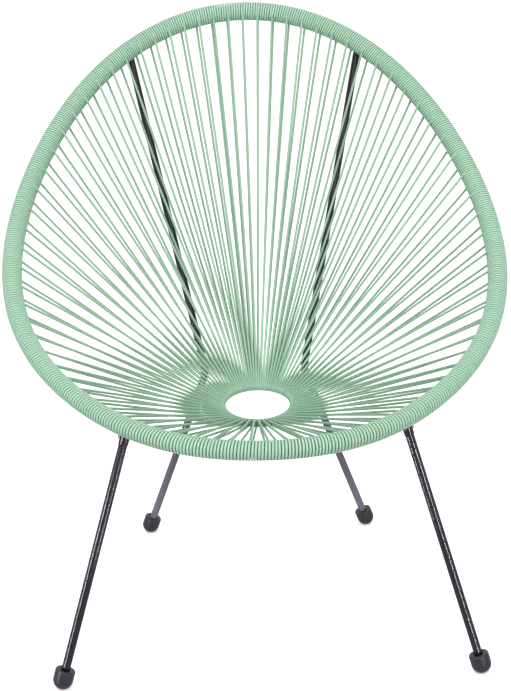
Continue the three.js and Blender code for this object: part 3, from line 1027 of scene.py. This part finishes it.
    def step_aside(self, length: float) -> float:
        """How far a lower strand moves along the rim to pass beside a stay's top end.

        Args:
            length: Where the strand would leave the rim.

        Returns:
            The move along the rim, 0 away from the stays.
        """
        here = self.rim.section(np.array([length]))
        stay = self.rim.stay_section().centre[0]
        for side in Side:
            offset = here.centre[0] - stay * np.array([-side.value, 1, 1])
            along = float(offset @ here.tangent[0])
            if np.linalg.norm(offset) < 2 * self.stay_room and abs(along) < self.stay_room:
                return math.copysign(self.stay_room, along) - along
        return 0.0

    def build(self) -> bpy.types.Object:
        """Makes the sector's object.

        Returns:
            The object.
        """
        loops = self.rim.loops // self.sectors
        first = self.number * loops
        skins = [self.rim_winding(), self.ring_winding()]
        skins += [self.loop(first + i) for i in range(loops)]
        name = f"{self.number + 1:02d}"
        return make_piece(f"wound_cord_{name}", skins, self.material,
                          [f"seat_cord_{name}"])


# Rods, sockets, caps and screws


@dataclass
class FootCap:
    """Bullet-shaped foot cap with a blind bore and a soft lip, cut flat at the floor."""

    radius: float = 13.8 * MM
    flat: float = 1 * MM
    wall: float = 15 * MM
    floor: float = 9 * MM
    shoulder_round: float = 2.6 * MM
    lip_width: float = 1.6 * MM
    lip_depth: float = 1.4 * MM
    lip_rounds: tuple = (1.0 * MM, 0.8 * MM)
    round_steps: int = 6
    dome_points: int = 14
    sides: int = 40

    def places(self, foot: np.ndarray, down: np.ndarray,
               gap: float) -> tuple[np.ndarray, np.ndarray]:
        """Middle of the dome over a foot's place, and where the rod ends in the bore.

        Args:
            foot: Where the leg's line meets the floor.
            down: Direction of the leg.
            gap: Room between the rod's end and the bore's.

        Returns:
            Both points.
        """
        centre = foot + down * (self.radius - self.flat) / down[2]
        return centre, centre + down * (self.radius - self.floor - gap)

    def skin(self, centre: np.ndarray, down: np.ndarray, bore: float) -> Skin:
        """The cap as one turned solid.

        The dome is a quarter circle turned round the leg's line. Points under the floor are set on
        the floor.

        Args:
            centre: Middle of the dome.
            down: Direction of the leg.
            bore: Radius of the bore.

        Returns:
            The closed skin.
        """
        angle = np.linspace(0, math.pi / 2, self.dome_points)
        dome = np.stack([self.radius * np.sin(angle), -self.radius * np.cos(angle)], -1)
        dome[0, 0] = AXIS_GAP
        bottom = self.floor - self.radius
        mouth = rounded([
            (self.radius, 0, 0), (self.radius, self.wall, self.shoulder_round),
            (bore + self.lip_width, self.wall, self.lip_rounds[0]),
            (bore, self.wall - self.lip_depth, self.lip_rounds[1]),
            (bore, bottom, 0), (4 * AXIS_GAP, bottom, 0),
        ], self.round_steps)
        skin = lathed(np.concatenate([dome, mouth[1:]]), self.sides, centre, -down)
        skin.points[:, 2] = np.maximum(skin.points[:, 2], 0)
        return skin


@dataclass
class LockingScrew:
    """Pan head with a round recess, on a short shank."""

    shank_radius: float = 1.9 * MM
    shank_start: float = 3 * MM
    head_radius: float = 3.4 * MM
    head_side: float = 1.7 * MM
    head_height: float = 2.2 * MM
    crown_radius: float = 2.6 * MM
    recess_radius: float = 1.5 * MM
    recess_floor: float = 1 * MM
    draft: float = 0.1 * MM
    sides: int = 24

    def skin(self, place: np.ndarray, out: np.ndarray, seat: float) -> Skin:
        """The screw as one turned solid.

        Args:
            place: Point on the socket's axis that the screw points at.
            out: The screw's direction, from that point.
            seat: How far from that point the head starts.

        Returns:
            The closed skin.
        """
        crown = seat + self.head_height
        floor = seat + self.recess_floor
        return lathed(rounded([
            (AXIS_GAP, self.shank_start, 0), (self.shank_radius, self.shank_start, 0.2 * MM),
            (self.shank_radius, seat, 0.1 * MM), (self.head_radius, seat, 0.3 * MM),
            (self.head_radius, seat + self.head_side, 0.5 * MM),
            (self.crown_radius, crown, 0.3 * MM), (self.recess_radius, crown, 0.1 * MM),
            (self.recess_radius - self.draft, floor, 0), (AXIS_GAP, floor - self.draft, 0),
        ]), self.sides, place, out)


@dataclass
class Underframe:
    """Rods, sockets, screws and foot caps of one side."""

    side: Side
    rim: RimLine
    finishes: dict[Slot, bpy.types.Material]
    foot_cap: FootCap = field(default_factory=FootCap)
    locking_screw: LockingScrew = field(default_factory=LockingScrew)
    # Rods, and the gap that stands for a weld or a fit
    rod_radius: float = 6 * MM
    gap: float = 0.3 * MM
    sides: int = 32
    upright: float = 0.98
    # Rear rod: how far it runs past its weld under the rim's tube, its bend and its foot
    tube_across: float = 8.9 * MM
    stay_end: float = 4 * MM
    rear_bend: tuple = (80 * MM, 240 * MM, 287 * MM)
    bend_radius: float = 30 * MM
    bend_points: int = 20
    end_step: float = 0.4 * MM
    rear_foot: tuple = (187 * MM, 279 * MM, 0.0)
    # Front bar and leg: the leg's line starts at a share of the bar
    bar_angles: tuple = (204.0, 245.0)
    bar_drop: float = 7.5 * MM
    bar_inset: float = 9 * MM
    leg_share: float = 0.61
    front_foot: tuple = (288 * MM, -294 * MM, 0.0)
    # Socket, spigot and screw, with heights along the leg's line
    socket_radius: float = 6.8 * MM
    socket_chamfer: float = 1 * MM
    socket_start: float = 3 * MM
    socket_end: float = 30 * MM
    socket_bore: float = 8 * MM
    spigot_radius: float = 4.5 * MM
    spigot_length: float = 7 * MM
    screw_place: float = 20 * MM
    # Painted light on the rear legs, paler towards the floor: its strength, where it starts and how
    # soon it is full
    painted_light_share: float = 0.75
    painted_light_top: float = 250 * MM
    painted_light_depth: float = 60 * MM

    def mirrored(self, point: np.ndarray | tuple) -> np.ndarray:
        """A point of the left side on this side, in the centred frame."""
        x, y, z = point
        return np.array([self.side.value * abs(x), y, z]) + CENTRING

    def piece(self, name: str, skin: Skin, node: str, slot: Slot = Slot.STEEL) -> None:
        """Makes a piece of this side.

        Args:
            name: The piece's name without its side.
            skin: Its closed surface.
            node: The name of the node that it replaces, without its side.
            slot: The record's material slot.
        """
        word = self.side.word
        make_piece(f"{name}_{word}", [skin], self.finishes[slot], [f"{node}_{word}"])

    def rod(self, path: np.ndarray) -> Skin:
        """A round rod along a path.

        The points on its sections start from a level direction square to the rod, or from the X axis
        where the rod is nearly upright.

        Args:
            path: Points (n, 3).

        Returns:
            The closed rod.
        """
        along = unit(path[-1] - path[0])
        level = unit(np.cross(along, Z_AXIS)) if abs(along[2]) < self.upright else X_AXIS
        return swept(path, np.repeat(level[None], len(path), 0), self.rod_radius, self.sides)

    def bend(self, start: np.ndarray, corner: np.ndarray, end: np.ndarray) -> np.ndarray:
        """Path with one round bend.

        The arc's middle lies square to the first stretch, a bend radius away. Its spoke turns from
        one tangent point to the other.

        Args:
            start: First end.
            corner: Where the straight stretches would meet.
            end: Other end.

        Returns:
            Points along the path.
        """
        first, second = unit(corner - start), unit(end - corner)
        turn = math.acos(float(first @ second))
        inward = np.cross(unit(np.cross(first, second)), first)
        begin = corner - first * self.bend_radius * math.tan(turn / 2)
        angle = np.linspace(0, turn, self.bend_points)[:, None]
        spoke = np.sin(angle) * first - np.cos(angle) * inward
        arc = begin + self.bend_radius * (inward + spoke)
        return np.concatenate([[start, start + first * self.end_step], arc,
                               [end - second * self.end_step, end]])

    def rear_frame(self) -> None:
        """Back stay and rear leg, one bent rod, with pale painted light under the seat, as in the
        photograph.
        """
        stay = self.rim.stay_section()
        below = self.tube_across + self.rod_radius + self.gap
        weld = self.mirrored(stay.centre[0] - stay.across[0] * below)
        corner = self.mirrored(self.rear_bend)
        foot = self.mirrored(self.rear_foot)
        down = unit(foot - corner)
        centre, end = self.foot_cap.places(foot, down, self.gap)
        rod = self.rod(self.bend(weld - unit(corner - weld) * self.stay_end, corner, end))
        # Painted light: the rod turns pale violet grey towards the floor, below the seat.
        rod.hidden = self.painted_light_share * np.clip((self.painted_light_top - rod.points[:, 2]) / self.painted_light_depth, 0, 1)
        self.piece("bent_rod", rod, "rear_frame")
        self.cap("rear", centre, down)

    def cap(self, end: str, centre: np.ndarray, down: np.ndarray) -> None:
        """Foot cap of one leg.

        Args:
            end: "front" or "rear".
            centre: Middle of the dome.
            down: Direction of the leg.
        """
        skin = self.foot_cap.skin(centre, down, self.rod_radius + self.gap)
        self.piece(f"cap_{end}", skin, f"foot_cap_{end}", Slot.CAP)

    def socket(self, top: np.ndarray, down: np.ndarray) -> Skin:
        """Leg socket, with a blind bore for the spigot.

        Args:
            top: Where the leg's line meets the bar's.
            down: Direction of the leg.

        Returns:
            The closed skin.
        """
        bore = self.spigot_radius + self.gap
        floor = self.socket_end - self.socket_bore
        return lathed(rounded([
            (AXIS_GAP, self.socket_start, 0),
            (self.socket_radius - self.socket_chamfer, self.socket_start, 0),
            (self.socket_radius, self.socket_start + self.socket_chamfer, 0.4 * MM),
            (self.socket_radius, self.socket_end, 0.7 * MM), (bore, self.socket_end, 0.2 * MM),
            (bore, floor, 0), (AXIS_GAP, floor, 0),
        ]), self.sides, top, down)

    def leg(self, top: np.ndarray, down: np.ndarray, length: float) -> Skin:
        """Front leg, stepped down at its top to the spigot.

        Args:
            top: Where the leg's line meets the bar's.
            down: Direction of the leg.
            length: From that place to the leg's lower end.

        Returns:
            The closed skin.
        """
        shoulder = self.socket_end + self.gap
        start = shoulder - self.spigot_length
        return lathed(rounded([
            (AXIS_GAP, start, 0), (self.spigot_radius, start, 0.6 * MM),
            (self.spigot_radius, shoulder, 0.1 * MM), (self.rod_radius, shoulder, 0.5 * MM),
            (self.rod_radius, length, 0.4 * MM), (AXIS_GAP, length, 0),
        ]), self.sides, top, down)

    def front_frame(self) -> None:
        """Bar between the cord layers, leg socket, front leg, its cap and the locking screw."""
        ends = self.rim.section_at_angle(self.bar_angles).centre - self.bar_drop * Z_AXIS
        start, end = self.mirrored(ends[0]), self.mirrored(ends[1])
        inset = unit(end - start) * self.bar_inset
        bar = np.stack([start + inset, start + 2 * inset, end - 2 * inset, end - inset])
        self.piece("cross_bar", self.rod(bar), "front_bar")
        top = start + (end - start) * self.leg_share
        foot = self.mirrored(self.front_foot)
        down = unit(foot - top)
        self.piece("socket", self.socket(top, down), "leg_socket")
        centre, tip = self.foot_cap.places(foot, down, self.gap)
        self.piece("leg", self.leg(top, down, float((tip - top) @ down)), "front_leg")
        self.cap("front", centre, down)
        outward = self.side.value * X_AXIS
        out = unit(outward - down * (outward @ down))
        screw = self.locking_screw.skin(top + down * self.screw_place, out,
                                        self.socket_radius + self.gap)
        self.piece("screw", screw, "leg_screw", Slot.ZINC)

    def build(self) -> None:
        """Makes this side's pieces."""
        self.rear_frame()
        self.front_frame()


# Studio


@dataclass(frozen=True)
class Lamp:
    """A soft rectangular light with a width and a height, in metres, and a power in watts."""

    name: str
    place: tuple
    aim: tuple
    size: tuple
    power: float

    def add(self) -> None:
        """Puts the light into the scene, turned to its aim, with its width level."""
        data = bpy.data.lights.new(self.name, "AREA")
        data.shape = "RECTANGLE"
        data.size, data.size_y = self.size
        data.energy = self.power
        lamp = bpy.data.objects.new(self.name, data)
        bpy.context.collection.objects.link(lamp)
        back = unit(np.array(self.place) - np.array(self.aim))
        right = unit(np.cross(Z_AXIS, back))
        matrix = np.eye(4)
        matrix[:3, 0], matrix[:3, 1], matrix[:3, 2] = right, np.cross(back, right), back
        matrix[:3, 3] = self.place
        lamp.matrix_world = Matrix(matrix.tolist())


@dataclass
class Studio:
    """Camera at the photograph's angle, pale floor and soft light.

    The camera looks down on the legs, so what they mirror lies under the floor's height. The two
    upright strips stand there to streak the rods, and the floor is left out of mirrored light.
    """

    focal_pixels: float = 1620.74
    image_height: int = 691
    sensor: float = 36.0
    clips: tuple = (0.05, 100.0)
    place: tuple = (-0.063767, -2.3079, 1.004538)
    pitch: float = 0.2589
    yaw: float = 0.0259
    roll: float = 0.0273
    floor_reach: float = 30.0
    sky: tuple = (1.0, 1.0, 1.0, 1.0)
    ground: tuple = (0.7, 0.7, 0.7, 1.0)
    horizon: float = 0.01
    lamps: tuple = (
        Lamp("key", (-1.0, -1.2, 3.2), (0, 0, 0.4), (1.2, 1.2), 22),
        Lamp("top", (0.4, 0.6, 3.4), (0, 0, 0.4), (1.4, 1.4), 22),
        Lamp("front", (0.8, -6.0, 2.6), (0, 0, 0.5), (3.0, 3.0), 84),
        Lamp("left_strip", (-2.2, -1.5, -0.5), (0, 0, -0.5), (0.14, 1.8), 80),
        Lamp("right_strip", (1.6, -2.6, -0.5), (0, 0, -0.5), (0.14, 1.8), 95),
    )

    def camera(self) -> None:
        """Sets the camera.

        Its axes are the world's turned by the yaw about the upright, then by the pitch, then by the
        roll about the line of sight. The lens is the focal length in pixels over the image height,
        times the sensor's height.
        """
        right = np.array([math.cos(self.yaw), -math.sin(self.yaw), 0])
        ahead = np.array([math.sin(self.yaw), math.cos(self.yaw), 0])
        sight = math.cos(self.pitch) * ahead - math.sin(self.pitch) * Z_AXIS
        up = math.sin(self.pitch) * ahead + math.cos(self.pitch) * Z_AXIS
        data = bpy.data.cameras.new("camera")
        data.sensor_fit = "VERTICAL"
        data.sensor_height = data.sensor_width = self.sensor
        data.lens = self.focal_pixels * self.sensor / self.image_height
        data.clip_start, data.clip_end = self.clips
        camera = bpy.data.objects.new("camera", data)
        bpy.context.collection.objects.link(camera)
        matrix = np.eye(4)
        matrix[:3, 0] = math.cos(self.roll) * right - math.sin(self.roll) * up
        matrix[:3, 1] = math.sin(self.roll) * right + math.cos(self.roll) * up
        matrix[:3, 2] = -sight
        matrix[:3, 3] = np.array(self.place) + CENTRING
        camera.matrix_world = Matrix(matrix.tolist())
        bpy.context.scene.camera = camera

    def floor(self) -> None:
        """A wide pale floor, flat at height 0, that neither lights the chair nor is mirrored."""
        reach = self.floor_reach
        corners = [(-reach, -reach, 0), (reach, -reach, 0), (reach, reach, 0), (-reach, reach, 0)]
        mesh = bpy.data.meshes.new("floor")
        mesh.from_pydata(corners, [], [(0, 1, 2, 3)])
        mesh.materials.append(StudioWhite().material())
        floor = bpy.data.objects.new("floor", mesh)
        bpy.context.collection.objects.link(floor)
        floor.visible_diffuse = False
        floor.visible_glossy = False

    def light(self) -> None:
        """White surroundings, greyer below the horizon, and the lamps."""
        world = bpy.data.worlds.new("studio")
        bpy.context.scene.world = world
        bpy.context.scene.view_settings.view_transform = "Standard"
        world.use_nodes = True
        graph = Graph(world.node_tree)
        direction = graph.node("ShaderNodeTexCoord", output="Generated")
        height = graph.node("ShaderNodeSeparateXYZ", {0: direction}, "Z")
        background = world.node_tree.nodes["Background"]
        graph.fill(background.inputs["Color"],
                   graph.ramp(height, self.ground, self.sky, self.horizon))
        graph.fill(background.inputs["Strength"], 1.0)
        for lamp in self.lamps:
            lamp.add()

    def build(self) -> None:
        """Sets camera, floor and light."""
        self.camera()
        self.floor()
        self.light()


def dress_hidden_steel(steel: bpy.types.Material) -> None:
    """Gives the tube and the wire inside the windings the rods' finish.

    Args:
        steel: The finish.
    """
    for name in ("rim_tube", "seat_ring"):
        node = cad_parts[name]
        for held in node.material_slots:
            held.material = steel
        LOG.info("%s: kept from the model", name)


def main() -> None:
    """Builds the chair and its studio."""
    logging.basicConfig(level=logging.INFO, format="%(message)s")
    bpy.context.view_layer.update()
    Studio().build()
    finishes = {Slot.CORD: VinylCord().material(), Slot.STEEL: PowderCoat().material(),
                Slot.CAP: CapMoulding().material(), Slot.ZINC: ZincPlate().material()}
    rim = RimLine()
    ring = RingLine(rim)
    for number in range(CordSector.sectors):
        CordSector(number, rim, ring, finishes[Slot.CORD]).build()
    for side in Side:
        Underframe(side, rim, finishes).build()
    dress_hidden_steel(finishes[Slot.STEEL])


if __name__ == "__main__":
    main()
